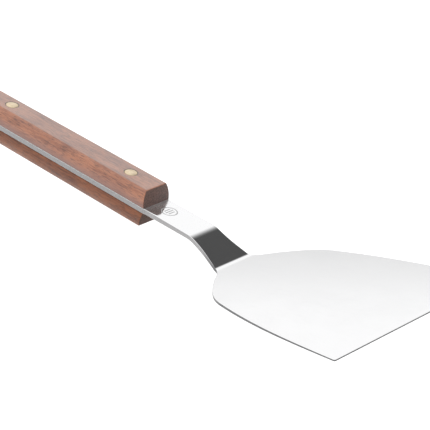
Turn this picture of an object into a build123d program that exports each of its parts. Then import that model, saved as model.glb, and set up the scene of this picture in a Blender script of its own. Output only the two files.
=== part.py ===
from build123d import *
from math import cos, radians, sin
import os

# Cranked palette knife: a one-piece steel blade, neck and tang between two riveted wooden scales.
#
# Row frame: the origin is the middle of the blade's flat underside, +X runs from the handle to the front
# edge, +Y to the left and +Z up.  The neck is cranked, so the handle stands above the blade and rises
# towards its butt.  All sizes are millimetres and degrees.

# ---- blade ----
blade_length = 99.0             # heel of the crank to the front edge
blade_front_width = 110.0       # across the two sharp front corners
blade_heel_thickness = 1.3
blade_front_thickness = 0.6
shoulder_run = 26.0             # heel to the place where each shoulder turns into the side
shoulder_width = 78.0           # across the blade at that place
shoulder_slope = 20.0           # angle between the centre line and the side, just past the shoulder
side_slope = 8.0                # the same angle at the front corner
throat_run = 8.0                # heel to the steepest place of each shoulder
throat_width = 44.0             # across the blade at that place
throat_slope = 53.0

# ---- crank and neck ----
crank_run = 16.9                # heel to the upper bend, along the blade
crank_drop = 10.7               # how far the upper bend stands above the blade's heel
crank_width = 17.0              # across the steel at the upper bend
crank_foot_width = 22.0         # the same just above the lower bend
crank_foot_run = 1.4            # lower bend back to that place, along the blade
crank_foot_slope = 14.0         # angle between the centre line and the side at that place
crank_thickness = 2.1
neck_length = 28.4              # upper bend to the wood
neck_width = 16.4               # across the steel where it leaves the wood
upper_bend_radius = 13.0
lower_bend_radius = 4.0

# ---- handle ----
handle_tilt = 13.3              # rise of the tang towards the butt
handle_length = 116.2
handle_width = 17.0             # across tang and scales at the front end
butt_width = 16.2               # the same at the butt
flat_width = 13.2               # flat on the outside of each scale, at the front end
butt_flat_width = 11.4
scale_thickness = 8.1
side_flare = 8.0                # how far each side leans out where it leaves the tang
upper_end_rake = 1.3            # how far the outside of the upper scale's front end leans back
lower_end_rake = 2.6            # the same on the lower scale
tang_thickness = 2.5
arris_radius = 0.9              # along the edges of the outer flats
front_edge_radius = 0.7         # round the scales' front ends
butt_corner_radius = 5.0        # the butt's corners, seen from above
butt_edge_radius = 1.6          # round the scales' butt ends

# ---- rivets ----
front_rivet_setback = 17.2      # front end of the wood to the first rivet
rivet_spacing = 77.0
rivet_head_diameter = 6.0
rivet_rim = 1.2                 # height of the head below its crown
rivet_crown = 0.35              # how far the crown stands above the wood
rivet_sleeve_diameter = 4.6
rivet_pin_diameter = 3.0
head_clearance = 0.15           # head to the wall of its counterbore, all round
sleeve_clearance = 0.10         # sleeve to the bore through the scales and the tang, all round
pin_clearance = 0.03            # pin to the inside of its sleeve, all round
pin_end_clearance = 0.6         # end of the pin to the crown of its sleeve

# ---- places worked out from the sizes ----
heel_x = -blade_length / 2
front_x = blade_length / 2
bend_x = heel_x - crank_run
bend_z = blade_heel_thickness + crank_drop
tilt = radians(handle_tilt)
wood_x = bend_x - neck_length * cos(tilt)
wood_z = bend_z + neck_length * sin(tilt)

# The tang plane lies on the steel's upper face: its x runs back along the handle, its z leaves the steel.
tang_plane = Plane(
    origin=(wood_x, 0, wood_z),
    x_dir=(-cos(tilt), 0, sin(tilt)),
    z_dir=(sin(tilt), 0, cos(tilt)),
)
tang_middle = tang_plane.offset(-tang_thickness / 2)
side_plane = Plane(origin=tang_plane.origin, x_dir=tang_plane.x_dir, z_dir=(0, 1, 0))
rivet_stations = [front_rivet_setback, front_rivet_setback + rivet_spacing]
crank_slope = Vector(crank_run, 0, -crank_drop).normalized()
counterbore_floor = tang_thickness / 2 + scale_thickness - rivet_rim   # from the middle of the tang
flare = (sin(radians(side_flare)), cos(radians(side_flare)))           # start of each side of a scale


def across(station, height=0.0):
    """Plane across the handle at a distance from the wood's front end, with its y away from the steel."""
    origin = tang_plane.from_local_coords((station, 0, height))
    return Plane(origin=origin, x_dir=(0, -1, 0), z_dir=tang_plane.x_dir)


def taper(station, front, butt):
    """Width that changes evenly from the handle's front end to its butt."""
    return front + (butt - front) * station / handle_length


def under(point, before, after, thickness):
    """Point of the steel's lower face under a bend of its upper face, for unit directions at the bend."""
    first = Vector(before.Z, 0, -before.X)
    second = Vector(after.Z, 0, -after.X)
    mitre = (first + second).normalized()
    return point + mitre * (thickness / mitre.dot(first))


def round_corner(corner, radius):
    """Fillet the corner of the open sketch that lies nearest to a point of the XZ plane."""
    fillet(vertices().sort_by_distance((corner.X, corner.Z))[0], radius)


# ---- blade: blade, crank, neck and full tang, one piece of steel ----
forward = tang_plane.x_dir * -1
upper_bend = Vector(bend_x, 0, bend_z)
lower_bend = Vector(heel_x, 0, blade_heel_thickness)
wood_line = Vector(wood_x, 0, wood_z)
under_wood_line = tang_plane.from_local_coords((0, 0, -tang_thickness))
under_bend = under(upper_bend, forward, crank_slope, crank_thickness)
under_heel = under(lower_bend, crank_slope, Vector(1, 0, 0), blade_heel_thickness)
front_top = Vector(front_x, 0, blade_front_thickness)
front_bottom = Vector(front_x, 0, 0)
steel_side = [
    wood_line, upper_bend, lower_bend, front_top, front_bottom, under_heel, under_bend, under_wood_line,
]

tang_corners = [
    (0, -handle_width / 2),
    (handle_length, -butt_width / 2),
    (handle_length, butt_width / 2),
    (0, handle_width / 2),
]
corner_centre = (handle_length - butt_corner_radius, butt_width / 2 - butt_corner_radius)
with BuildSketch() as butt_corners:
    with Locations(corner_centre):
        Rectangle(2 * butt_corner_radius, 2 * butt_corner_radius, align=Align.MIN)
        Circle(butt_corner_radius, mode=Mode.SUBTRACT)
    mirror(about=Plane.XZ)

with BuildPart() as blade:
    # side view of neck, crank and blade
    with BuildSketch(Plane.XZ):
        with BuildLine():
            Polyline(*[(corner.X, corner.Z) for corner in steel_side], close=True)
        make_face()
        round_corner(upper_bend, upper_bend_radius + crank_thickness)
        round_corner(under_bend, upper_bend_radius)
        round_corner(lower_bend, lower_bend_radius)
        round_corner(under_heel, lower_bend_radius + blade_heel_thickness)
    extrude(amount=blade_front_width, both=True)
    # outline from above, with the shoulders
    with BuildSketch():
        with BuildLine():
            Line((wood_x - tang_thickness, 0), (wood_x - tang_thickness, neck_width / 2))
            Line((wood_x - tang_thickness, neck_width / 2), (wood_x, neck_width / 2))
            Line((wood_x, neck_width / 2), (bend_x, crank_width / 2))
            Spline(
                (bend_x, crank_width / 2),
                (heel_x - crank_foot_run, crank_foot_width / 2),
                (heel_x + throat_run, throat_width / 2),
                (heel_x + shoulder_run, shoulder_width / 2),
                (front_x, blade_front_width / 2),
                tangents=[
                    (1, 0),
                    (cos(radians(crank_foot_slope)), sin(radians(crank_foot_slope))),
                    (cos(radians(throat_slope)), sin(radians(throat_slope))),
                    (cos(radians(shoulder_slope)), sin(radians(shoulder_slope))),
                    (cos(radians(side_slope)), sin(radians(side_slope))),
                ],
            )
            Line((front_x, blade_front_width / 2), (front_x, 0))
            Line((front_x, 0), (wood_x - tang_thickness, 0))
        make_face()
        mirror(about=Plane.XZ)
    extrude(amount=blade_front_width, both=True, mode=Mode.INTERSECT)
    # tang
    with BuildSketch(tang_plane):
        Polygon(*tang_corners, align=None)
        add(butt_corners.sketch, mode=Mode.SUBTRACT)
    extrude(amount=-tang_thickness)
    with Locations(tang_plane):
        with Locations(*[(station, 0) for station in rivet_stations]):
            Hole(rivet_sleeve_diameter / 2 + sleeve_clearance, tang_thickness * 2)

# ---- scales: both are shaped above the tang, and the lower one is then mirrored ----
shaped_scales = []
for end_rake in (upper_end_rake, lower_end_rake):
    with BuildPart() as scale:
        for station in (0, handle_length):
            base = taper(station, handle_width, butt_width)
            flat = taper(station, flat_width, butt_flat_width)
            with BuildSketch(across(station)):
                with BuildLine():
                    Line((0, 0), (base / 2, 0))
                    TangentArc((base / 2, 0), (flat / 2, scale_thickness), tangent=flare)
                    Line((flat / 2, scale_thickness), (0, scale_thickness))
                    Line((0, scale_thickness), (0, 0))
                make_face()
                fillet(vertices().sort_by_distance((flat / 2, scale_thickness))[0], arris_radius)
                mirror(about=Plane.YZ)
        loft(ruled=True)
        with BuildSketch(tang_plane):
            add(butt_corners.sketch)
        extrude(amount=scale_thickness, mode=Mode.SUBTRACT)
        # lean the front end back, and round the outside over into the butt, as seen from the side
        with BuildSketch(side_plane):
            Polygon((0, 0), (end_rake, scale_thickness), (0, scale_thickness), align=None)
            with Locations((handle_length - butt_edge_radius, scale_thickness - butt_edge_radius)):
                Rectangle(2 * butt_edge_radius, 2 * butt_edge_radius, align=Align.MIN)
                Circle(butt_edge_radius, mode=Mode.SUBTRACT)
        extrude(amount=handle_width, both=True, mode=Mode.SUBTRACT)
        # soften the front end all round, but not along the steel
        front_face = faces().sort_by(Axis(tang_plane.origin, tang_plane.x_dir))[0]
        base_face = faces().sort_by(Axis(tang_plane.origin, tang_plane.z_dir))[0]
        fillet(front_face.edges() - base_face.edges(), front_edge_radius)
        # stepped holes for the rivets
        with Locations(tang_plane.offset(scale_thickness)):
            with Locations(*[(station, 0) for station in rivet_stations]):
                CounterBoreHole(
                    radius=rivet_sleeve_diameter / 2 + sleeve_clearance,
                    counter_bore_radius=rivet_head_diameter / 2 + head_clearance,
                    counter_bore_depth=rivet_rim,
                    depth=2 * scale_thickness,
                )
    shaped_scales.append(scale.part)

with BuildPart() as lower_scale:
    mirror(shaped_scales[1], about=tang_middle)

# ---- rivets: a solid pin pressed into a hollow sleeve, with a crowned head on each ----
head_radius = rivet_head_diameter / 2
sleeve_radius = rivet_sleeve_diameter / 2
sleeve_bore = rivet_pin_diameter / 2 + pin_clearance
rim = counterbore_floor + rivet_rim
crown = rim + rivet_crown
rivet_pins = []
rivet_sleeves = []
for station in rivet_stations:
    rivet_plane = across(station, -tang_thickness / 2)
    rivet_axis = Axis(rivet_plane.origin, rivet_plane.y_dir)
    with BuildPart() as rivet_pin:
        with BuildSketch(rivet_plane):
            with BuildLine():
                Polyline(
                    (0, crown), (0, pin_end_clearance - counterbore_floor),
                    (rivet_pin_diameter / 2, pin_end_clearance - counterbore_floor),
                    (rivet_pin_diameter / 2, counterbore_floor), (head_radius, counterbore_floor),
                    (head_radius, rim),
                )
                TangentArc((0, crown), (head_radius, rim), tangent=(1, 0))
            make_face()
        revolve(axis=rivet_axis)
    with BuildPart() as rivet_sleeve:
        with BuildSketch(rivet_plane):
            with BuildLine():
                Polyline(
                    (0, -crown), (0, -counterbore_floor), (sleeve_bore, -counterbore_floor),
                    (sleeve_bore, counterbore_floor - pin_end_clearance),
                    (sleeve_radius, counterbore_floor - pin_end_clearance),
                    (sleeve_radius, -counterbore_floor), (head_radius, -counterbore_floor),
                    (head_radius, -rim),
                )
                TangentArc((0, -crown), (head_radius, -rim), tangent=(1, 0))
            make_face()
        revolve(axis=rivet_axis)
    rivet_pins.append(rivet_pin.part)
    rivet_sleeves.append(rivet_sleeve.part)

# ---- files ----
nodes = {
    "blade_and_tang": blade.part,
    "upper_scale": shaped_scales[0],
    "lower_scale": lower_scale.part,
    "front_rivet_pin": rivet_pins[0],
    "front_rivet_sleeve": rivet_sleeves[0],
    "rear_rivet_pin": rivet_pins[1],
    "rear_rivet_sleeve": rivet_sleeves[1],
}
os.makedirs("parts", exist_ok=True)
for name, piece in nodes.items():
    piece.label = name
    export_step(piece, f"parts/{name}.step")
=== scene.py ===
from collections import namedtuple
from math import asin, atan2, cos, pi, radians, sin, sqrt, tan

import bmesh
import bpy
import numpy as np
from bpy.props import FloatProperty, FloatVectorProperty, PointerProperty
from mathutils import Matrix, Vector


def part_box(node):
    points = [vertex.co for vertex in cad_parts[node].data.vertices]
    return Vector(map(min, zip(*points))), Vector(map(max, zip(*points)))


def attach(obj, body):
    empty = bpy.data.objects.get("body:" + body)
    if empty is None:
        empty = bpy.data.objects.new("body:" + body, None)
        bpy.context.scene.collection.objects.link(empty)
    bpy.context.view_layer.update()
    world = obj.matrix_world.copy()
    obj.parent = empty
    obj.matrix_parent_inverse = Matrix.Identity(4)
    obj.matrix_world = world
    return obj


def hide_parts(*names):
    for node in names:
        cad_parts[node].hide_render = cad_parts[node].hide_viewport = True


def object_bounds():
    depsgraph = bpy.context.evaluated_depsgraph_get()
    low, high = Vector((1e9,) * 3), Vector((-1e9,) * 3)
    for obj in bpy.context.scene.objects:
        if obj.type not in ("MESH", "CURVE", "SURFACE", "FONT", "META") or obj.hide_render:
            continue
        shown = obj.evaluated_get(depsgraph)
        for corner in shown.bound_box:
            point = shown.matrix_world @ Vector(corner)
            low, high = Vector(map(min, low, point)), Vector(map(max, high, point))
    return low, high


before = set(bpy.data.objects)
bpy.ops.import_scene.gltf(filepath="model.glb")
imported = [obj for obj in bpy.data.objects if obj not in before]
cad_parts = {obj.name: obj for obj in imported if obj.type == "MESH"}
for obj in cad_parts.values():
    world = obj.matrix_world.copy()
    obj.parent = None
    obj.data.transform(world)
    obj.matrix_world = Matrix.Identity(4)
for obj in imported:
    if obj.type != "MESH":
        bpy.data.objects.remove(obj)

bl_info = {
    "name": "Cranked Palette Knife",
    "version": (1, 0, 0),
    "blender": (4, 5, 0),
    "location": "View3D > Sidebar > Palette Knife",
    "description": "Steel, wooden scales and brass rivets of a cranked palette knife, on its packed frame",
    "category": "Object",
}

MM = 0.001
LEFT = Vector((0, 1, 0))
CLOSE = 0.01 * MM                  # places nearer than this count as the same
OUTLINE_STEP = 0.4 * MM            # least spacing of the measured outline
cad_low, cad_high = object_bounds()


# ---- what the frame says ----

Handle = namedtuple("Handle", "front along out length half_width half_butt steel outside rivets rakes")


def corners_of(*nodes):
    """Every mesh corner of some CAD nodes."""
    return [v.co.copy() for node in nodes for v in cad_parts[node].data.vertices]


def middle_of(*nodes):
    """Middle of the box round some CAD nodes."""
    boxes = [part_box(node) for node in nodes]
    low = Vector([min(box[0][i] for box in boxes) for i in range(3)])
    high = Vector([max(box[1][i] for box in boxes) for i in range(3)])
    return (low + high) / 2


def measure_handle():
    """Place, direction and sizes of the handle, from its rivets, its upper scale and its tang.

    front is the middle of the tang at the front end of the wood, along runs back towards the butt and out
    leaves the tang upwards.  steel and outside are heights from the middle of the tang, and rakes say how
    far the outer flats start behind the front end, on the upper and the lower scale.
    """
    rivets = [middle_of(f"{end}_rivet_pin", f"{end}_rivet_sleeve") for end in ("front", "rear")]
    along = (rivets[1] - rivets[0]).normalized()
    out = LEFT.cross(along)
    wood = [corner - rivets[0] for corner in corners_of("upper_scale")]
    stations = [corner.dot(along) for corner in wood]
    heights = [corner.dot(out) for corner in wood]
    front = rivets[0] + along * min(stations)
    length = max(stations) - min(stations)
    tang = [corner for corner in corners_of("blade_and_tang") if (corner - front).dot(along) > -CLOSE]
    half_width = max(corner.y for corner in tang)
    straight = [corner for corner in tang if corner.y > 0.9 * half_width]
    last = max(straight, key=lambda corner: (corner - front).dot(along))
    outside = max(heights)
    rakes = []
    for scale in ("upper_scale", "lower_scale"):
        from_front = [corner - front for corner in corners_of(scale)]
        flat = [place for place in from_front if abs(place.dot(out)) > outside - CLOSE]
        rakes.append(min(place.dot(along) for place in flat))
    return Handle(
        front, along, out, length, half_width, last.y, min(heights), outside,
        [(rivet - front).dot(along) for rivet in rivets], rakes,
    )


def measure_outline(handle):
    """Half widths of the steel at stations along X, from the wood to the front edge."""
    seen = []
    for corner in corners_of("blade_and_tang"):
        behind = (corner - handle.front).dot(handle.along)
        on_neck = behind < -CLOSE or behind < CLOSE and corner.y < handle.half_width - 5 * CLOSE
        if corner.y > 0 and on_neck:
            seen.append((corner.x, corner.y))
    seen.sort()
    kept = [seen[0]]
    for corner in seen[1:]:
        if corner[0] > kept[-1][0] + OUTLINE_STEP:
            kept.append(corner)
    kept[-1] = seen[-1]
    return np.array(kept).T


HANDLE = measure_handle()
OUTLINE = measure_outline(HANDLE)
SLOPES = np.gradient(OUTLINE[1], OUTLINE[0])
BLADE_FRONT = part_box("blade_and_tang")[1].x
BLADE_HEEL = -BLADE_FRONT                     # the frame's origin is half way between them


def half_width_at(x):
    """Half width of the steel at a station, on the smooth curve through the measured ones."""
    i = int(np.clip(np.searchsorted(OUTLINE[0], x) - 1, 0, OUTLINE.shape[1] - 2))
    run = OUTLINE[0][i + 1] - OUTLINE[0][i]
    t = min(max((x - OUTLINE[0][i]) / run, 0), 1)
    ends = OUTLINE[1][i] * (1 + 2 * t) * (1 - t) ** 2 + OUTLINE[1][i + 1] * t * t * (3 - 2 * t)
    return ends + run * (SLOPES[i] * t * (1 - t) ** 2 - SLOPES[i + 1] * t * t * (1 - t))


def on_handle(station, across, height):
    """Point given along the handle from the wood's front end, to the left, and out from the tang's middle."""
    return HANDLE.front + HANDLE.along * station + LEFT * across + HANDLE.out * height


# ---- sizes and colours that a user would change ----

def number(name, description, default, **options):
    return FloatProperty(name=name, description=description, default=default, **options)


def size(name, description, millimetres):
    return number(name, description, millimetres * MM, min=0, unit="LENGTH", precision=5)


def share(name, description, default):
    return number(name, description, default, min=0, max=1, subtype="FACTOR")


def angle(name, description, degrees):
    return number(name, description, radians(degrees), subtype="ANGLE")


def colour(name, description, *default):
    return FloatVectorProperty(
        name=name, description=description, default=(*default, 1), min=0, max=1, size=4, subtype="COLOR"
    )


class SteelSettings(bpy.types.PropertyGroup):
    """Blade, crank, neck and tang"""
    crank_run: size("Crank run", "Heel of the crank to the upper bend, along the blade", 16.9)
    upper_radius: size("Upper bend radius", "Inside radius of the upper bend", 13)
    lower_radius: size("Lower bend radius", "Inside radius of the lower bend", 4)
    bend_thickness: size("Thickness at the upper bend", "Steel at the upper bend", 2.1)
    heel_thickness: size("Thickness at the heel", "Steel at the lower bend", 1.3)
    front_thickness: size("Thickness at the front", "Steel at the blade's front edge", 0.6)
    edge_radius: size("Edge radius", "How far the steel's edges are eased at the tang", 0.42)
    front_corner: size("Front corner radius", "Round on the two front corners, from above", 0.9)
    stamp_setback: size("Stamp setback", "Wood to the middle of the round stamp", 8.1)
    stamp_radius: size("Stamp radius", "Outside of the stamped ring", 3.85)
    stamp_line: size("Stamp line", "Width of a stamped line", 0.6)
    stamp_depth: size("Stamp depth", "How deep the stamp is struck", 0.06)
    polished: colour("Polished steel", "Colour of the polished faces", 0.80, 0.80, 0.805)
    ground: colour("Ground edge", "Colour of the ground edges of neck and tang", 0.285, 0.28, 0.282)
    sheared: colour("Sheared edge", "Colour of the dull edges of the blade", 0.07, 0.07, 0.073)
    polish: share("Roughness of the polish", "Roughness of the polished faces", 0.08)
    corner: share("Roughness by the wood", "Roughness added in the corner by the wood", 0.28)


class WoodSettings(bpy.types.PropertyGroup):
    """Scales"""
    side_flare: angle("Side flare", "How far each side leans out where it leaves the tang", 8)
    flat_width: size("Flat at the front", "Outer flat of a scale at its front end", 13.2)
    butt_flat_width: size("Flat at the butt", "Outer flat of a scale at its butt", 11.4)
    arris_radius: size("Arris radius", "Round along the edges of the outer flat", 0.9)
    front_radius: size("Front edge radius", "Round on the front end", 0.4)
    rake_length: size("Rake length", "Stretch of the mesh that follows the lean of the front end", 30)
    butt_corner: size("Butt corner radius", "Corners of the butt, from above", 5)
    butt_radius: size("Butt edge radius", "Round on the outside of the butt", 1.6)
    seam_radius: size("Seam radius", "Eased edge where the wood meets the steel", 0.22)
    heartwood: colour("Heartwood", "Main colour of the wood", 0.36, 0.133, 0.066)
    # this colour also paints the shade on the sides of the scales near the steel
    streak_and_shade: colour("Streaks", "Colour of the darker streaks", 0.17, 0.057, 0.035)
    sapwood: colour("Pale grain", "Colour of the paler grain", 0.46, 0.195, 0.11)
    pore: colour("Pores", "Colour of the open pores and grime", 0.055, 0.025, 0.018)
    end_grain: colour("End grain", "Colour of the end grain between its pores", 0.115, 0.055, 0.042)
    oil: share("Oil", "Share of the oiled coat on the upper scale", 1.0)
    # painted shade: this factor darkens and browns the whole lower scale, which sits under the tang facing
    # the floor
    lower_shade_factor: share("Lower scale tone", "Brightness of the lower scale against the upper one", 0.58)
    lower_oil: share("Lower scale oil", "Share of the oiled coat on the lower scale", 0.1)


class RivetSettings(bpy.types.PropertyGroup):
    """Rivets"""
    head_radius: size("Head radius", "Rivet head", 3)
    rim: size("Rim height", "Head below its crown", 1.2)
    crown: size("Crown height", "How far the crown stands above the wood", 0.35)
    bevel: size("Head bevel", "Bevel round the head", 0.12)
    sleeve_radius: size("Sleeve radius", "Outside of the hollow sleeve", 2.3)
    pin_radius: size("Pin radius", "Solid pin", 1.5)
    head_clearance: size("Head clearance", "Head to the wall of its counterbore", 0.15)
    sleeve_clearance: size("Sleeve clearance", "Sleeve to the wall of its bore", 0.1)
    pin_clearance: size("Pin clearance", "Pin to the inside of its sleeve", 0.03)
    end_clearance: size("End clearance", "End of a pin or sleeve to the other's head", 0.6)
    brass: colour("Brass", "Colour of clean brass", 0.74, 0.62, 0.45)
    tarnish: colour("Tarnish", "Colour of tarnished brass", 0.42, 0.27, 0.12)


class StageSettings(bpy.types.PropertyGroup):
    """Floor, light and camera"""
    azimuth: angle("Azimuth", "Camera's turn round the knife", 41.33)
    elevation: angle("Elevation", "Camera's height above the floor", 19.87)
    roll: angle("Roll", "Camera's roll about its own line of sight", -1.23)
    distance: size("Distance", "Camera to the point that it looks at", 922)
    aim: FloatVectorProperty(
        name="Aim", description="Point that the camera looks at", default=(-0.0412, -0.0206, 0.0309), size=3,
        subtype="XYZ",
    )
    lens: number("Lens", "Focal length on a 36 mm sensor, in millimetres", 182.9)
    floor_radius: size("Floor radius", "Round pale floor", 4000)
    sky: number("Sky", "Strength of the soft light all round", 1.2)
    glow: number("Floor glow", "Light that the floor gives by itself", 0.75)


# ---- meshes ----

def new_object(name, data):
    """Object with the given data, in the scene."""
    made = bpy.data.objects.new(name, data)
    bpy.context.scene.collection.objects.link(made)
    return made


def applied_mesh(piece):
    """Mesh of a piece after its modifiers, which are then taken off."""
    bpy.context.view_layer.update()
    evaluated = piece.evaluated_get(bpy.context.evaluated_depsgraph_get())
    data = bpy.data.meshes.new_from_object(evaluated)
    piece.modifiers.clear()
    return data


def loft(name, rings, looped=False):
    """Closed mesh object through rings of (point, wear, grime) corners.

    Every ring has as many corners as the first.  wear is stored as the attribute "edge", and grime as
    "seam".  The ends are flat, or where looped is set, the last ring runs round into the first.
    """
    mesh = bmesh.new()
    layers = [mesh.verts.layers.float.new(attribute) for attribute in ("edge", "seam")]
    rows = []
    for ring in rings:
        row = []
        for point, *marks in ring:
            corner = mesh.verts.new(point)
            for layer, mark in zip(layers, marks):
                corner[layer] = mark
            row.append(corner)
        rows.append(row)
    count = len(rows[0])
    for row, following in zip(rows, rows[1:] + (rows[:1] if looped else [])):
        for i in range(count):
            mesh.faces.new((row[i], row[(i + 1) % count], following[(i + 1) % count], following[i]))
    if not looped:
        mesh.faces.new(rows[0])
        mesh.faces.new(reversed(rows[-1]))
    bmesh.ops.recalc_face_normals(mesh, faces=mesh.faces)
    data = bpy.data.meshes.new(name)
    mesh.to_mesh(data)
    mesh.free()
    return new_object(name, data)


def cut(piece, cutters):
    """Take the cutters away from a piece for good."""
    for cutter in cutters:
        modifier = piece.modifiers.new("Cut", "BOOLEAN")
        modifier.operation = "DIFFERENCE"
        modifier.solver = "EXACT"
        modifier.material_mode = "TRANSFER"
        modifier.object = cutter
    piece.data = applied_mesh(piece)
    for cutter in cutters:
        bpy.data.objects.remove(cutter)


def finish_piece(piece, slot, *nodes, sharp=radians(32)):
    """Smooth a finished piece between its sharp edges, and hand it to the frame."""
    piece.data.shade_smooth()
    piece.data.set_sharp_from_angle(angle=sharp)
    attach(piece, "root")
    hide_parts(*nodes)


def rivet_cutter(station, profile, steps=64):
    """Round cutter on a rivet's axis, through (height, radius) pairs."""
    turns = [2 * pi * i / steps for i in range(steps)]
    rings = []
    for height, radius in profile:
        centre = on_handle(station, 0, height)
        rings.append([(centre + (HANDLE.along * cos(turn) + LEFT * sin(turn)) * radius,) for turn in turns])
    return loft("rivet_cutter", rings)


def closing_stations(radius, steps):
    """Stations that get closer together over a round of the butt, up to its end."""
    return [HANDLE.length - radius * (1 - sin(pi / 2 * i / steps)) for i in range(1, steps + 1)]


def butt_narrowing(station, radius):
    """How far the handle's outline has drawn in at a station, on the round corners of the butt."""
    past = station - (HANDLE.length - radius)
    if past <= 0:
        return 0
    return radius - sqrt(max(radius ** 2 - past ** 2, 0))


def half_width_on_handle(station):
    """Half width of the handle, without its round corners."""
    return HANDLE.half_width + (HANDLE.half_butt - HANDLE.half_width) * station / HANDLE.length


# ---- steel ----

LEAST_EASING = 0.04 * MM           # of the steel's edges, where it is thinnest
FRONT_EASING = 0.02 * MM           # of the blade's front edge
THIN_STEEL = 1.4 * MM              # thinner than this, the eased edges are as dull as the sides


def steel_section(half_width, half_height, radius, steps=4, guard=0.35 * MM):
    """Rounded bar as (across, up, wear), with rows beside the corners that keep the flats flat.

    The side walls count as worn.  The eased corners over them are worn on the thin blade, and bright on
    the thicker neck.
    """
    radius = min(radius, half_height * 0.8)
    dull_steps = steps if half_height < THIN_STEEL / 2 else 2
    quarter = []
    for i in range(steps + 1):
        turn = pi / 2 * i / steps
        across = half_width - radius + radius * cos(turn)
        quarter.append((across, half_height - radius + radius * sin(turn), 1.0 if i < dull_steps else 0.0))
    quarter += [(half_width - radius - back, half_height, 0.0) for back in (guard, 3 * guard)]
    upper = quarter + [(0, half_height, 0.0)] + [(-x, y, worn) for x, y, worn in reversed(quarter)]
    return upper + [(-x, -y, worn) for x, y, worn in upper]


def bent_line(corners, radii, straight_steps, arc_steps):
    """Points along a line in the XZ plane whose inner corners are bent to the given radii."""
    points = [corners[0]]
    for corner, before, after, radius, steps in zip(
        corners[1:-1], corners, corners[2:], radii, straight_steps
    ):
        arriving = (corner - before).normalized()
        leaving = (after - corner).normalized()
        turn = atan2(arriving.z * leaving.x - arriving.x * leaving.z, arriving.dot(leaving))
        reach = radius * tan(abs(turn) / 2)
        start = corner - arriving * reach
        points += [points[-1].lerp(start, i / steps) for i in range(1, steps + 1)]
        side = Vector((-arriving.z, 0, arriving.x)) * (-1 if turn > 0 else 1)
        centre = start + side * radius
        for i in range(1, arc_steps + 1):
            points.append(centre + Matrix.Rotation(turn * i / arc_steps, 3, "Y") @ (start - centre))
    last = points[-1]
    steps = straight_steps[-1]
    return points + [last.lerp(corners[-1], i / steps) for i in range(1, steps + 1)]


def under(corner, arriving, leaving, thickness):
    """Corner of the steel's lower side under a bend of its upper side."""
    first = Vector((-arriving.z, 0, arriving.x))
    second = Vector((-leaving.z, 0, leaving.x))
    mitre = (first + second).normalized()
    return corner - mitre * (thickness / mitre.dot(first))


def steel_sides(settings):
    """Matching points along the upper and the lower side of neck, crank and blade."""
    forward = -HANDLE.along
    step = -settings.edge_radius              # the tang's shoulders slope over this much
    wood_line = on_handle(step, 0, HANDLE.steel)
    bend_x = BLADE_HEEL - settings.crank_run
    upper_bend = wood_line + forward * ((bend_x - wood_line.x) / forward.x)
    heel = Vector((BLADE_HEEL, 0, settings.heel_thickness))
    front = Vector((BLADE_FRONT, 0, settings.front_thickness))
    falling = (heel - upper_bend).normalized()
    top = [wood_line, upper_bend, heel, front]
    bottom = [
        on_handle(step, 0, -HANDLE.steel),
        under(upper_bend, forward, falling, settings.bend_thickness),
        under(heel, falling, Vector((1, 0, 0)), settings.heel_thickness),
        Vector((BLADE_FRONT, 0, 0)),
    ]
    arc_steps, straight_steps = 14, [14, 6, 90]
    top_radii = [settings.upper_radius + settings.bend_thickness, settings.lower_radius]
    bottom_radii = [settings.upper_radius, settings.lower_radius + settings.heel_thickness]
    sides = ((top, top_radii), (bottom, bottom_radii))
    return [bent_line(corners, radii, straight_steps, arc_steps) for corners, radii in sides]


def steel_ring(top, bottom, half_width, easing):
    """Ring of the steel between a point of its upper side and one of its lower side.

    The edges are eased less where the steel is thinner.
    """
    centre = (top + bottom) / 2
    up = (top - bottom).normalized()
    half_height = (top - bottom).length / 2
    radius = max(easing * (half_height / HANDLE.steel) ** 2, LEAST_EASING)
    section = steel_section(half_width, half_height, radius)
    return [(centre + LEFT * across + up * height, worn) for across, height, worn in section]


def dulled(ring):
    """The same ring, worn all round."""
    return [(point, 1.0) for point, *marks in ring]


def tang_rings(settings, butt_corner):
    """Rings of the tang, from its butt to the front end of the wood."""
    straight = np.linspace(0, HANDLE.length - butt_corner, 24)
    rings = []
    for station in reversed([*straight, *closing_stations(butt_corner, 10)]):
        half = half_width_on_handle(station) - butt_narrowing(station, butt_corner)
        top = on_handle(station, 0, HANDLE.steel)
        rings.append(steel_ring(top, on_handle(station, 0, -HANDLE.steel), half, settings.edge_radius))
    rings[0] = dulled(rings[0])
    return rings


def blade_rings(settings):
    """Rings of neck, crank and blade, from the wood to the front edge with its rounded corners."""
    rings = []
    tops, bottoms = steel_sides(settings)
    corner = settings.front_corner
    reach = BLADE_FRONT - corner
    for top, bottom in zip(tops, bottoms):
        x = (top.x + bottom.x) / 2
        if x < reach:
            rings.append(steel_ring(top, bottom, half_width_at(x), settings.edge_radius))
    for i in range(13):
        turn = pi / 2 * i / 12
        x = reach + corner * sin(turn)
        draw_in = corner * (1 - cos(turn))
        past = max(x - (BLADE_FRONT - FRONT_EASING), 0)
        thinner = FRONT_EASING - sqrt(max(FRONT_EASING ** 2 - past ** 2, 0))
        top = Vector((x, 0, settings.front_thickness - thinner))
        rings.append(
            steel_ring(top, Vector((x, 0, thinner)), half_width_at(x) - draw_in, settings.edge_radius)
        )
    rings[-1] = dulled(rings[-1])
    return rings


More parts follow.
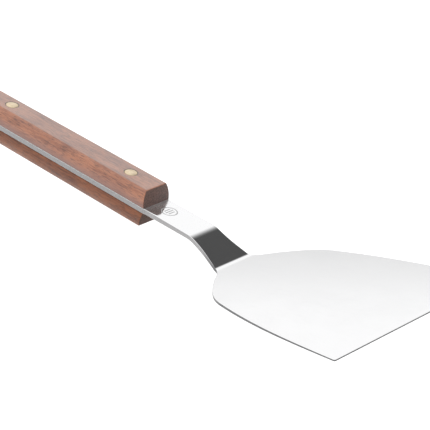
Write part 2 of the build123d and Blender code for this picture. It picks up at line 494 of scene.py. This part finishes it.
def stamp_cutters(settings, etched):
    """Shallow cutters for the round stamp: a ring with three short bars in it."""
    middle = on_handle(-settings.stamp_setback, 0, HANDLE.steel)
    floor, lift = -settings.stamp_depth, settings.stamp_depth
    outer, inner = settings.stamp_radius, settings.stamp_radius - settings.stamp_line
    flare = settings.stamp_line * 0.15
    path = [(outer - flare, floor), (outer + flare, lift), (inner - flare, lift), (inner + flare, floor)]
    steps = 72
    rings = []
    for i in range(steps):
        turn = 2 * pi * i / steps
        direction = HANDLE.along * cos(turn) + LEFT * sin(turn)
        rings.append([(middle + direction * radius + HANDLE.out * height,) for radius, height in path])
    ring = loft("stamp_ring_cutter", rings, looped=True)
    bars = []
    half = settings.stamp_line / 2
    # place and half length of each bar, as shares of the stamp's radius
    for place, reach in ((-0.36, 0.42), (0, 0.58), (0.36, 0.42)):
        centre = middle + HANDLE.along * (place * settings.stamp_radius)
        rows = []
        for height, spread in ((floor, half - flare), (lift, half + flare)):
            length = settings.stamp_radius * reach + spread
            corners = ((-spread, -length), (spread, -length), (spread, length), (-spread, length))
            rows.append([(centre + HANDLE.along * x + LEFT * y + HANDLE.out * height,) for x, y in corners])
        bars.append(loft("stamp_bar_cutter", rows))
    for cutter in [ring, *bars]:
        cutter.data.materials.append(etched)
    return [ring, *bars]


# ---- wood ----

PART_WORN = 0.35                   # wear on either side of a rounded edge of the wood


def scale_section(half_base, half_flat, depth, settings, inset, arc_steps=10, round_steps=5):
    """Section of a scale as (across, up, wear, grime), drawn in evenly by the inset except at the steel."""
    flare, seam, arris = settings.side_flare, settings.seam_radius, settings.arris_radius
    lean = half_base - half_flat
    chord = sqrt(lean ** 2 + depth ** 2)
    big = chord / (2 * sin(atan2(lean, depth) + flare))
    centre_x, centre_y = half_base - big * cos(flare), big * sin(flare)
    round_y = depth - arris
    round_x = centre_x + sqrt((big - arris) ** 2 - (round_y - centre_y) ** 2)
    meeting = atan2(round_y - centre_y, round_x - centre_x)
    side_radius, round_radius = big - inset, arris - inset
    start = asin((seam - centre_y) / side_radius)
    foot = centre_x + side_radius * cos(start) - seam
    half = [(foot - seam * 3, 0, 0.0, 0.0), (foot, 0, 0.0, 1.0)]
    for i in range(arc_steps + 1):
        turn = start + (meeting - start) * i / arc_steps
        marks = (PART_WORN if i == arc_steps else 0.0, 1.0 if i == 0 else 0.0)
        half.append((centre_x + side_radius * cos(turn), centre_y + side_radius * sin(turn), *marks))
    beside_seam = [first * 0.7 + second * 0.3 for first, second in zip(half[2][:2], half[3][:2])]
    half.insert(3, (*beside_seam, 0.0, 0.0))
    for i in range(1, round_steps + 1):
        turn = meeting + (pi / 2 - meeting) * i / round_steps
        worn = PART_WORN if i == round_steps else 1.0
        half.append((round_x + round_radius * cos(turn), round_y + round_radius * sin(turn), worn, 0.0))
    half += [(across, depth - inset, 0.0, 0.0) for across in (round_x - 0.5 * MM, 0)]
    return half + [(-x, y, worn, grimy) for x, y, worn, grimy in reversed(half[:-1])]


def scale_rings(settings, side):
    """Rings of one scale, from its front end to its butt.  side is 1 above the tang and -1 below it."""
    depth = HANDLE.outside - HANDLE.steel
    rake = HANDLE.rakes[0 if side > 0 else 1] - settings.front_radius
    rounding = settings.front_radius
    quarter = [pi / 2 * i / 6 for i in range(7)]
    stations = [(rounding * (1 - cos(turn)), rounding * (1 - sin(turn))) for turn in quarter]
    plain = np.linspace(rounding + 0.5 * MM, HANDLE.length - settings.butt_corner, 28)
    stations += [(station, 0) for station in plain]
    closing = {*closing_stations(settings.butt_corner, 9), *closing_stations(settings.butt_radius, 6)}
    stations += [(station, 0) for station in sorted(closing)]
    rings = []
    for station, inset in stations:
        part = station / HANDLE.length
        base = half_width_on_handle(station)
        flat = (settings.flat_width + (settings.butt_flat_width - settings.flat_width) * part) / 2
        narrowing = 1 - butt_narrowing(station, settings.butt_corner) / base
        lowering = 1 - butt_narrowing(station, settings.butt_radius) / depth
        upright = max(0, 1 - station / settings.rake_length)
        ring = []
        for across, height, worn, grimy in scale_section(base, flat, depth, settings, inset):
            set_back = rake * height / depth * upright
            up = HANDLE.steel + height * lowering
            point = on_handle(station + set_back, across * narrowing, side * up)
            ring.append((point, 1.0 if inset > 0 or lowering < 1 else worn, grimy))
        rings.append(ring)
    return rings


# ---- rivets ----

def feed(tree, inputs, feeds):
    """Link some inputs of a node to sockets or to the first outputs of nodes, or set them to values."""
    for key, value in feeds.items():
        if isinstance(value, bpy.types.Node):
            value = value.outputs[0]
        if isinstance(value, bpy.types.NodeSocket):
            tree.links.new(value, inputs[key])
        else:
            inputs[key].default_value = value


def add_node(tree, kind, feeds=None, **settings):
    """Node of a tree, with some of its own settings, and with its inputs fed."""
    node = tree.nodes.new(kind)
    for name, value in settings.items():
        setattr(node, name, value)
    feed(tree, node.inputs, feeds or {})
    return node


def combine(tree, first, second, operation="MULTIPLY", **settings):
    """Product of two sockets or numbers, or the result of another maths operation on them."""
    feeds = {0: first, 1: second}
    return add_node(tree, "ShaderNodeMath", feeds, operation=operation, **settings).outputs[0]


def turned_rivet_tree():
    """Geometry nodes for a row of turned rivets: a section swept round its axis, then placed in a row."""
    tree = bpy.data.node_groups.new("Turned Rivet Row", "GeometryNodeTree")
    tree.interface.new_socket("Geometry", in_out="OUTPUT", socket_type="NodeSocketGeometry")
    sizes = ("Head Radius", "Rim", "Crown", "Bevel", "Shank Radius", "Shank Length", "Bore Radius",
             "Bore Floor")
    sockets = {"Float": sizes, "Int": ["Rivets"], "Vector": ["Start", "Step", "Turn"], "Material": ["Brass"]}
    for kind, names in sockets.items():
        for name in names:
            tree.interface.new_socket(name, in_out="INPUT", socket_type="NodeSocket" + kind)
    given = add_node(tree, "NodeGroupInput").outputs
    head, rim, crown, bevel, shank, length, bore, bore_floor = (given[name] for name in sizes)

    def at(radius, height):
        """Corner of the section.  The sweep lays its second coordinate along -Z."""
        feeds = {0: radius, 1: combine(tree, height, -1.0)}
        return add_node(tree, "ShaderNodeCombineXYZ", feeds)

    def line(start, end):
        return add_node(tree, "GeometryNodeCurvePrimitiveLine", {"Start": start, "End": end}).outputs[0]

    shoulder = combine(tree, head, bevel, "SUBTRACT")
    shoulder_height = combine(tree, rim, bevel, "ADD")
    shank_end = combine(tree, length, -1.0)
    corners = [
        at(0.0, shoulder_height), at(shoulder, shoulder_height), at(head, rim), at(head, 0.0), at(shank, 0.0),
        at(shank, shank_end), at(bore, shank_end), at(bore, bore_floor), at(0.0, bore_floor),
    ]

    # the crown is the line from the axis to the shoulder, divided and lifted onto a shallow dome
    dome = add_node(tree, "GeometryNodeResampleCurve", {"Curve": line(*corners[:2]), "Count": 10})
    place = add_node(tree, "GeometryNodeInputPosition")
    across = add_node(tree, "ShaderNodeSeparateXYZ", {0: place}).outputs[0]
    ratio = combine(tree, across, shoulder, "DIVIDE")
    fall = combine(tree, 1.0, combine(tree, ratio, 2.0, "POWER"), "SUBTRACT")
    full_rise = combine(tree, combine(tree, rim, crown, "ADD"), shoulder_height, "SUBTRACT")
    rise = combine(tree, full_rise, fall)
    lift = add_node(tree, "GeometryNodeSetPosition", {"Geometry": dome, "Offset": at(0.0, rise)})
    section = add_node(tree, "GeometryNodeJoinGeometry", {0: lift})
    for start, end in zip(corners[1:], corners[2:]):
        tree.links.new(line(start, end), section.inputs[0])

    # the sweep follows a circle so small that it is the axis
    axis = add_node(tree, "GeometryNodeCurvePrimitiveCircle", {"Resolution": 72, "Radius": 0.002 * MM})
    feeds = {"Curve": axis, "Profile Curve": section}
    sweep = add_node(tree, "GeometryNodeCurveToMesh", feeds)
    feeds = {"Geometry": sweep, "Distance": 0.008 * MM}
    marked = add_node(tree, "GeometryNodeMergeByDistance", feeds)

    # wear and tarnish follow the distance from the axis
    flat = add_node(tree, "ShaderNodeVectorMath", {0: place, 1: (1, 1, 0)}, operation="MULTIPLY")
    far = add_node(tree, "ShaderNodeVectorMath", {0: flat}, operation="LENGTH")
    reach = combine(tree, far.outputs["Value"], head, "DIVIDE")
    for attribute, value in (("edge", combine(tree, reach, 8.0, "POWER")), ("turned", reach)):
        feeds = {"Geometry": marked, "Name": attribute, "Value": value}
        marked = add_node(
            tree, "GeometryNodeStoreNamedAttribute", feeds, data_type="FLOAT", domain="POINT"
        )

    feeds = {"Count": given["Rivets"], "Start Location": given["Start"], "Offset": given["Step"]}
    row = add_node(tree, "GeometryNodeMeshLine", feeds, mode="OFFSET")
    feeds = {"Points": row, "Instance": marked, "Rotation": given["Turn"]}
    put = add_node(tree, "GeometryNodeInstanceOnPoints", feeds)
    real = add_node(tree, "GeometryNodeRealizeInstances", {0: put})
    paint = add_node(tree, "GeometryNodeSetMaterial", {0: real, "Material": given["Brass"]})
    add_node(tree, "NodeGroupOutput", {0: paint})
    return tree


def rivet_row(name, tree, values):
    """Mesh object made by the rivet tree with the given inputs."""
    piece = new_object(name, bpy.data.meshes.new(name + "_carrier"))
    modifier = piece.modifiers.new("Rivets", "NODES")
    modifier.node_group = tree
    for item in tree.interface.items_tree:
        if item.in_out == "INPUT":
            modifier[item.identifier] = values[item.name]
    data = applied_mesh(piece)
    mesh = bmesh.new()
    mesh.from_mesh(data)
    bmesh.ops.remove_doubles(mesh, verts=mesh.verts, dist=0.004 * MM)
    bmesh.ops.recalc_face_normals(mesh, faces=mesh.faces)
    mesh.to_mesh(data)
    mesh.free()
    data.name = name
    piece.data = data
    return piece


# ---- shader groups ----

def shader_group(name, output, **numbers):
    """Shader node group on a vector and some numbers: its tree, what it is given and its one output."""
    tree = bpy.data.node_groups.new(name, "ShaderNodeTree")
    tree.interface.new_socket("Vector", in_out="INPUT", socket_type="NodeSocketVector")
    for key, default in numbers.items():
        socket = tree.interface.new_socket(key.capitalize(), in_out="INPUT", socket_type="NodeSocketFloat")
        socket.default_value = default
    tree.interface.new_socket(output, in_out="OUTPUT", socket_type="NodeSocketFloat")
    return tree, add_node(tree, "NodeGroupInput").outputs, add_node(tree, "NodeGroupOutput").inputs[0]


def noise(tree, vector, scale, detail=4.0, rough=0.55, distort=0.0):
    """Noise texture on a vector, and its value."""
    feeds = {"Vector": vector, "Scale": scale, "Detail": detail, "Roughness": rough, "Distortion": distort}
    return add_node(tree, "ShaderNodeTexNoise", feeds).outputs["Fac"]


def remap(tree, value, low, high, to_low=0.0, to_high=1.0):
    """Smooth step of a value from one range to another, and its result."""
    feeds = {"Value": value, "From Min": low, "From Max": high, "To Min": to_low, "To Max": to_high}
    return add_node(tree, "ShaderNodeMapRange", feeds, interpolation_type="SMOOTHSTEP").outputs[0]


def streaks_group():
    """Grain drawn out along X: long streaks, as in straight-grained wood or brushed metal."""
    tree, given, mask = shader_group("Long Streaks", "Mask", scale=100.0, stretch=12.0, low=0.4, high=0.6)
    along = combine(tree, 1.0, given["Stretch"], "DIVIDE")
    squeeze = add_node(tree, "ShaderNodeCombineXYZ", {0: along, 1: 1.0, 2: 1.0})
    drawn = add_node(tree, "ShaderNodeVectorMath", {0: given["Vector"], 1: squeeze}, operation="MULTIPLY")
    value = noise(tree, drawn, given["Scale"], 5.0, 0.6, 0.25)
    tree.links.new(remap(tree, value, given["Low"], given["High"]), mask)


def wear_group():
    """Mask of the worn or ground edges, broken up by noise, from the attribute "edge"."""
    tree, given, mask = shader_group("Edge Wear", "Mask", scale=900.0, amount=1.0, breakup=0.4)
    edge = add_node(tree, "ShaderNodeAttribute", attribute_name="edge").outputs["Fac"]
    patches = combine(tree, noise(tree, given["Vector"], given["Scale"], 3.0), given["Breakup"])
    kept = combine(tree, edge, combine(tree, patches, edge), "SUBTRACT")
    tree.links.new(combine(tree, kept, given["Amount"], use_clamp=True), mask)


def handling_group():
    """Roughness that varies in soft patches, with faint smudges from handling."""
    tree, given, rough = shader_group(
        "Handling Marks", "Roughness", roughness=0.3, patches=0.05, smudges=0.05
    )
    patch = remap(tree, noise(tree, given["Vector"], 45.0, 3.0), 0.35, 0.65, -1.0, 1.0)
    smudge = remap(tree, noise(tree, given["Vector"], 190.0, 5.0, 0.65, 0.8), 0.52, 0.74)
    spread = combine(tree, patch, given["Patches"])
    dab = combine(tree, smudge, given["Smudges"])
    tree.links.new(combine(tree, combine(tree, given["Roughness"], spread, "ADD"), dab, "ADD"), rough)


def place_group(tree, group, vector, **values):
    """Shared group in a material, with its own values, and its output."""
    feeds = {"Vector": vector, **{name.capitalize(): value for name, value in values.items()}}
    return add_node(tree, "ShaderNodeGroup", feeds, node_tree=bpy.data.node_groups[group]).outputs[0]


def mix(tree, mask, first, second, blend="MIX"):
    """Colour mix of two colours or sockets by a mask, and its result."""
    feeds = {0: mask, 6: first, 7: second}
    return add_node(tree, "ShaderNodeMix", feeds, data_type="RGBA", blend_type=blend).outputs[2]


def dimmed(colour, factor):
    return [part * factor for part in colour[:3]] + [1]


def new_material(name):
    """Material with a Principled shader; returns the material, its tree and the shader's inputs."""
    material = bpy.data.materials.new(name)
    material.use_nodes = True
    tree = material.node_tree
    return material, tree, tree.nodes["Principled BSDF"].inputs


def object_vector(tree):
    return add_node(tree, "ShaderNodeTexCoord").outputs["Object"]


def handle_vector(tree, slant=0.0):
    """Object coordinates turned so that X runs back along the handle, Y across it and Z out of it."""
    axes = Matrix((HANDLE.along, HANDLE.out.cross(HANDLE.along), HANDLE.out)).transposed()
    turned = (axes @ Matrix.Rotation(slant, 3, "Z")).to_euler()
    feeds = {"Vector": object_vector(tree), "Location": HANDLE.front, "Rotation": turned}
    return add_node(tree, "ShaderNodeMapping", feeds, vector_type="TEXTURE")


def bump(tree, height, distance, strength):
    """Bump from a height, for a shader's normal."""
    feeds = {"Height": height, "Distance": distance, "Strength": strength}
    return add_node(tree, "ShaderNodeBump", feeds)


def ends_mask(tree):
    """Mask of the faces that look along the handle, and so show end grain."""
    normal = add_node(tree, "ShaderNodeTexCoord").outputs["Normal"]
    facing = add_node(tree, "ShaderNodeVectorMath", {0: normal, 1: HANDLE.along}, operation="DOT_PRODUCT")
    return remap(tree, combine(tree, facing.outputs["Value"], 0.0, "ABSOLUTE"), 0.72, 0.96)


def rivet_grime(tree, local, radius):
    """Mask round holes of a radius on the rivets' axes, from the handle's coordinates."""
    near = None
    for station in HANDLE.rivets:
        away = combine(tree, combine(tree, local[0], station, "SUBTRACT"), 2.0, "POWER")
        squares = combine(tree, away, combine(tree, local[1], 2.0, "POWER"), "ADD")
        distance = combine(tree, squares, 0.5, "POWER")
        near = distance if near is None else combine(tree, near, distance, "MINIMUM")
    return remap(tree, near, radius, radius + GRIME_WIDTH, 0.75, 0.0)


# ---- materials ----

UNPOLISHED = 6 * MM                # ahead of the wood, where the polishing wheel does not reach
SHEAR_FADE = 13 * MM               # behind the heel, where ground edges turn into sheared ones
SHADED_HEIGHT = 4.5 * MM            # above the tang, how far painted shade darkens the sides of the wood
GRIME_WIDTH = 0.6 * MM             # round a rivet head, where grime stays on the wood


def steel_material(settings):
    """Polished steel with a fine lengthwise grain, duller and darker on its ground edges."""
    material, tree, shader = new_material("polished_steel")
    place = object_vector(tree)
    grain = place_group(tree, "Long Streaks", place, scale=2600.0, stretch=60.0, low=0.3, high=0.7)
    wear = place_group(tree, "Edge Wear", place, scale=1500.0, amount=1.0, breakup=0.25)
    marks = place_group(tree, "Handling Marks", place, roughness=settings.polish, patches=0.012, smudges=0.03)
    x = add_node(tree, "ShaderNodeSeparateXYZ", {0: place}).outputs[0]
    on_blade = remap(tree, x, BLADE_HEEL - SHEAR_FADE, BLADE_HEEL)
    edge = mix(tree, on_blade, settings.ground, settings.sheared)
    at_front = remap(tree, x, BLADE_FRONT - 0.4 * MM, BLADE_FRONT - 0.05 * MM)
    edge = mix(tree, at_front, edge, dimmed(settings.sheared, 0.2))
    tint = mix(tree, grain, dimmed(settings.polished, 0.985), settings.polished)
    rough = combine(tree, marks, combine(tree, wear, 0.24), "ADD")
    corner = remap(tree, x, HANDLE.front.x, HANDLE.front.x + UNPOLISHED, settings.corner, 0.0)
    feed(tree, shader, {
        "Base Color": mix(tree, wear, tint, edge),
        "Metallic": 1,
        "Roughness": combine(tree, rough, corner, "ADD"),
        "Normal": bump(tree, grain, 0.0015 * MM, 0.5),
    })
    return material


def etched_material(settings):
    """Matt grey steel at the bottom of the stamp."""
    material, tree, shader = new_material("etched_steel")
    speckle = noise(tree, object_vector(tree), 5200.0, 3.0, 0.7)
    feed(tree, shader, {
        "Base Color": mix(tree, speckle, dimmed(settings.polished, 0.6), dimmed(settings.polished, 0.85)),
        "Metallic": 1,
        "Roughness": remap(tree, speckle, 0.3, 0.7, 0.45, 0.65),
        "Normal": bump(tree, speckle, 0.01 * MM, 0.6),
    })
    return material


def wood_material(name, settings, shade_factor, oil, seed, hole):
    """Oiled reddish hardwood: long figure, fine grain, open pores, dark end grain, grime in the joints.

    The brightness factor darkens and browns the wood all over, as painted shade on the lower scale; oil is
    the share of its coat, and hole is the radius of its holes.
    """
    material, tree, shader = new_material(name)
    feeds = {0: handle_vector(tree, radians(1.6)), 1: (seed * 0.31, seed * 0.17, seed * 0.23)}
    place = add_node(tree, "ShaderNodeVectorMath", feeds, operation="ADD")
    figure = place_group(tree, "Long Streaks", place, scale=230.0, stretch=5.0, low=0.36, high=0.66)
    grain = place_group(tree, "Long Streaks", place, scale=1500.0, stretch=12.0, low=0.34, high=0.66)
    pores = place_group(tree, "Long Streaks", place, scale=2800.0, stretch=10.0, low=0.5, high=0.64)
    wear = place_group(tree, "Edge Wear", place, scale=700.0, amount=0.8, breakup=0.7)

    body = mix(tree, figure, settings.heartwood, settings.streak_and_shade)
    layers = ((grain, 0.6, settings.sapwood), (pores, 0.66, settings.pore), (wear, 0.22, settings.sapwood))
    for mask, strength, tint in layers:
        body = mix(tree, combine(tree, mask, strength), body, tint)

    # painted shade: the sides are darkened with the streak colour towards the steel, standing in for the
    # shade in the joint with the tang
    local = add_node(tree, "ShaderNodeSeparateXYZ", {0: handle_vector(tree)}).outputs
    off_steel = combine(tree, local[2], 0.0, "ABSOLUTE")
    painted_shade_by_steel = remap(tree, off_steel, HANDLE.steel, HANDLE.steel + SHADED_HEIGHT, 0.9 * oil, 0.0)
    body = mix(tree, painted_shade_by_steel, body, settings.streak_and_shade)

    # end grain drinks the oil, so it is darker
    end = ends_mask(tree)
    vessels = remap(tree, noise(tree, place, 2100.0, 3.0, 0.6), 0.38, 0.6)
    end_colour = mix(tree, vessels, dimmed(settings.pore, 0.4), settings.end_grain)
    body = mix(tree, combine(tree, end, 0.95), body, end_colour)

    seam = add_node(tree, "ShaderNodeAttribute", attribute_name="seam").outputs["Fac"]
    grime = combine(tree, rivet_grime(tree, local, hole), combine(tree, seam, 0.8 * oil), "MAXIMUM")
    body = mix(tree, grime, body, settings.pore)
    rough = place_group(tree, "Handling Marks", place, roughness=0.42, patches=0.05, smudges=0.06)
    relief = combine(tree, combine(tree, grain, 0.3), pores, "SUBTRACT")
    # painted shade: for the lower scale, the brightness factor multiplies the whole colour down
    feed(tree, shader, {
        "Base Color": mix(tree, 1.0, body, (shade_factor, shade_factor ** 1.25, shade_factor ** 1.7, 1), "MULTIPLY"),
        "Roughness": combine(tree, rough, combine(tree, end, 0.25), "ADD"),
        "Specular IOR Level": 0.25,
        "Coat Weight": remap(tree, end, 0.0, 1.0, oil, 0.0),
        "Coat Roughness": 0.28,
        "Coat IOR": 1.5,
        "Sheen Weight": 0.9 * oil,
        "Sheen Roughness": 0.4,
        "Normal": bump(tree, relief, 0.02 * MM, 0.6),
    })
    return material


def brass_material(settings):
    """Brass with fine turning rings and tarnish towards the rim."""
    material, tree, shader = new_material("turned_brass")
    place = object_vector(tree)
    turned = add_node(tree, "ShaderNodeAttribute", attribute_name="turned").outputs["Fac"]
    rings = combine(tree, combine(tree, turned, 150.0), 0.0, "SINE")
    wear = place_group(tree, "Edge Wear", place, scale=1400.0, amount=0.9, breakup=0.5)
    blotch = remap(tree, noise(tree, place, 420.0, 5.0, 0.65), 0.4, 0.7, 0.0, 0.5)
    feed(tree, shader, {
        "Base Color": mix(tree, combine(tree, wear, blotch, "MAXIMUM"), settings.brass, settings.tarnish),
        "Metallic": 1,
        "Roughness": place_group(
            tree, "Handling Marks", place, roughness=0.3, patches=0.03, smudges=0.08
        ),
        "Normal": bump(tree, rings, 0.003 * MM, 0.5),
    })
    return material


def floor_material(settings):
    """Matt white floor that also gives a little light, as a lit table does."""
    material, tree, shader = new_material("pale_floor")
    cloud = noise(tree, object_vector(tree), 3.0, 2.0)
    feed(tree, shader, {
        "Base Color": mix(tree, cloud, (0.55, 0.55, 0.55, 1), (0.56, 0.56, 0.56, 1)),
        "Roughness": 0.9,
        "Specular IOR Level": 0.1,
        "Emission Color": (1, 1, 1, 1),
        "Emission Strength": settings.glow,
    })
    return material


# ---- stage ----

DARK_CARD = Vector((0.27, 0.66, 0.70)).normalized()       # its direction from the knife


def add_floor(settings):
    """Round floor just under the blade."""
    mesh = bmesh.new()
    bmesh.ops.create_circle(mesh, cap_ends=True, segments=96, radius=settings.floor_radius)
    data = bpy.data.meshes.new("floor")
    mesh.to_mesh(data)
    mesh.free()
    data.transform(Matrix.Translation((0, 0, cad_low.z - 0.05 * MM)))
    data.materials.append(floor_material(settings))
    new_object("floor", data)


def add_sky(settings):
    """White surroundings, a little greyer at the horizon, with one soft dark card high on the left."""
    world = bpy.data.worlds.new("studio")
    bpy.context.scene.world = world
    world.use_nodes = True
    tree = world.node_tree
    direction = add_node(tree, "ShaderNodeTexCoord").outputs["Generated"]
    height = add_node(tree, "ShaderNodeSeparateXYZ", {0: direction}).outputs[2]
    lit = remap(tree, height, 0.359, 0.389, 0.73, 1.01)
    nearness = add_node(tree, "ShaderNodeVectorMath", {0: direction, 1: DARK_CARD}, operation="DOT_PRODUCT")
    shade = remap(tree, nearness.outputs["Value"], 0.85, 0.975, 1.0, 0.075)
    strength = combine(tree, combine(tree, lit, shade), settings.sky)
    feed(tree, tree.nodes["Background"].inputs, {"Color": (1, 1, 1, 1), "Strength": strength})


def add_camera(settings):
    """Camera on a long lens, turned round the point that it looks at."""
    data = bpy.data.cameras.new("camera")
    data.sensor_width = 36
    data.lens = settings.lens
    data.clip_end = 20
    camera = new_object("camera", data)
    turn, rise = settings.azimuth, settings.elevation
    back = Vector((sin(turn) * cos(rise), -cos(turn) * cos(rise), sin(rise)))
    right = Vector((cos(turn), sin(turn), 0))
    facing = Matrix((right, back.cross(right), back)).transposed().to_4x4()
    rolled = facing @ Matrix.Rotation(settings.roll, 4, "Z")
    camera.matrix_world = Matrix.Translation(Vector(settings.aim) + back * settings.distance) @ rolled
    bpy.context.scene.camera = camera


# ---- operators ----

def share_groups():
    """Make each shader group that the materials share, once."""
    makers = {"Long Streaks": streaks_group, "Edge Wear": wear_group, "Handling Marks": handling_group}
    for group, make in makers.items():
        if group not in bpy.data.node_groups:
            make()


class PALETTE_KNIFE_OT_steel(bpy.types.Operator):
    """Make the blade, crank, neck and tang as one piece of steel, with its rivet holes and its stamp"""
    bl_idname = "palette_knife.steel"
    bl_label = "Blade and tang"

    def execute(self, context):
        scene = context.scene
        settings, rivets = scene.knife_steel, scene.knife_rivets
        share_groups()
        rings = tang_rings(settings, scene.knife_wood.butt_corner) + blade_rings(settings)
        piece = loft("blade_neck_and_tang", rings)
        piece.data.materials.append(steel_material(settings))
        hole = rivets.sleeve_radius + rivets.sleeve_clearance
        through = 2 * HANDLE.steel
        cutters = [rivet_cutter(station, [(-through, hole), (through, hole)]) for station in HANDLE.rivets]
        cut(piece, cutters + stamp_cutters(settings, etched_material(settings)))
        finish_piece(piece, "steel", "blade_and_tang")
        return {"FINISHED"}


class PALETTE_KNIFE_OT_scales(bpy.types.Operator):
    """Make the two wooden scales, with their stepped rivet holes"""
    bl_idname = "palette_knife.scales"
    bl_label = "Scales"

    def execute(self, context):
        settings, rivets = context.scene.knife_wood, context.scene.knife_rivets
        share_groups()
        floor = HANDLE.outside - rivets.rim
        head = rivets.head_radius + rivets.head_clearance
        bore = rivets.sleeve_radius + rivets.sleeve_clearance
        profile = [(0, bore), (floor, bore), (floor, head), (HANDLE.outside + MM, head)]
        # the lower scale gets its painted shade through its brightness factor
        looks = (("upper", 1, 1.0, settings.oil), ("lower", -1, settings.lower_shade_factor, settings.lower_oil))
        for name, side, shade_factor, oil in looks:
            piece = loft(f"{name}_wooden_scale", scale_rings(settings, side))
            wood = wood_material(f"{name}_scale_wood", settings, shade_factor, oil, side, head)
            piece.data.materials.append(wood)
            mirrored = [(side * height, radius) for height, radius in profile]
            cut(piece, [rivet_cutter(station, mirrored) for station in HANDLE.rivets])
            finish_piece(piece, "wood", f"{name}_scale")
        return {"FINISHED"}


class PALETTE_KNIFE_OT_rivets(bpy.types.Operator):
    """Make the two rivets, each a solid pin in a hollow sleeve"""
    bl_idname = "palette_knife.rivets"
    bl_label = "Rivets"

    def execute(self, context):
        settings = context.scene.knife_rivets
        share_groups()
        tree = turned_rivet_tree()
        brass = brass_material(settings)
        floor = HANDLE.outside - settings.rim
        length = 2 * floor - settings.end_clearance
        step = on_handle(HANDLE.rivets[1], 0, 0) - on_handle(HANDLE.rivets[0], 0, 0)
        rows = {
            "pin": (1, settings.pin_radius, 0.0, -length),
            "sleeve": (-1, settings.sleeve_radius, settings.pin_radius + settings.pin_clearance, 0.0),
        }
        for part, (side, shank, bore, bore_floor) in rows.items():
            piece = rivet_row(f"brass_rivet_{part}s", tree, {
                "Head Radius": settings.head_radius,
                "Rim": settings.rim - settings.bevel,
                "Crown": settings.crown + settings.bevel,
                "Bevel": settings.bevel,
                "Shank Radius": shank,
                "Shank Length": length,
                "Bore Radius": bore,
                "Bore Floor": bore_floor,
                "Rivets": len(HANDLE.rivets),
                "Start": on_handle(HANDLE.rivets[0], 0, side * floor),
                "Step": step,
                "Turn": (0, asin(HANDLE.along.z) + (pi if side < 0 else 0), 0),
                "Brass": brass,
            })
            finish_piece(piece, "brass", *[f"{end}_rivet_{part}" for end in ("front", "rear")])
        return {"FINISHED"}


class PALETTE_KNIFE_OT_stage(bpy.types.Operator):
    """Make the floor, the soft light and the camera"""
    bl_idname = "palette_knife.stage"
    bl_label = "Stage"

    def execute(self, context):
        settings = context.scene.knife_stage
        add_floor(settings)
        add_sky(settings)
        add_camera(settings)
        context.scene.view_settings.view_transform = "Standard"
        context.scene.view_settings.look = "None"
        return {"FINISHED"}


class PALETTE_KNIFE_PT_sidebar(bpy.types.Panel):
    """Sizes, colours and makers of the palette knife"""
    bl_idname = "PALETTE_KNIFE_PT_sidebar"
    bl_label = "Palette Knife"
    bl_space_type = "VIEW_3D"
    bl_region_type = "UI"
    bl_category = "Palette Knife"

    def draw(self, context):
        for group, operator in zip(SETTINGS, OPERATORS):
            box = self.layout.box()
            box.operator(operator.bl_idname)
            settings = getattr(context.scene, group)
            for name in settings.bl_rna.properties.keys():
                if name not in ("name", "rna_type"):
                    box.prop(settings, name)


SETTINGS = {
    "knife_steel": SteelSettings,
    "knife_wood": WoodSettings,
    "knife_rivets": RivetSettings,
    "knife_stage": StageSettings,
}
OPERATORS = (PALETTE_KNIFE_OT_steel, PALETTE_KNIFE_OT_scales, PALETTE_KNIFE_OT_rivets, PALETTE_KNIFE_OT_stage)
CLASSES = (*SETTINGS.values(), *OPERATORS, PALETTE_KNIFE_PT_sidebar)


def register():
    for cls in CLASSES:
        bpy.utils.register_class(cls)
    for name, group in SETTINGS.items():
        setattr(bpy.types.Scene, name, PointerProperty(type=group))


def unregister():
    for name in SETTINGS:
        delattr(bpy.types.Scene, name)
    for cls in reversed(CLASSES):
        bpy.utils.unregister_class(cls)


def main():
    """Register the add-on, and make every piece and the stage."""
    register()
    bpy.ops.palette_knife.steel()
    bpy.ops.palette_knife.scales()
    bpy.ops.palette_knife.rivets()
    bpy.ops.palette_knife.stage()


if __name__ == "__main__":
    main()
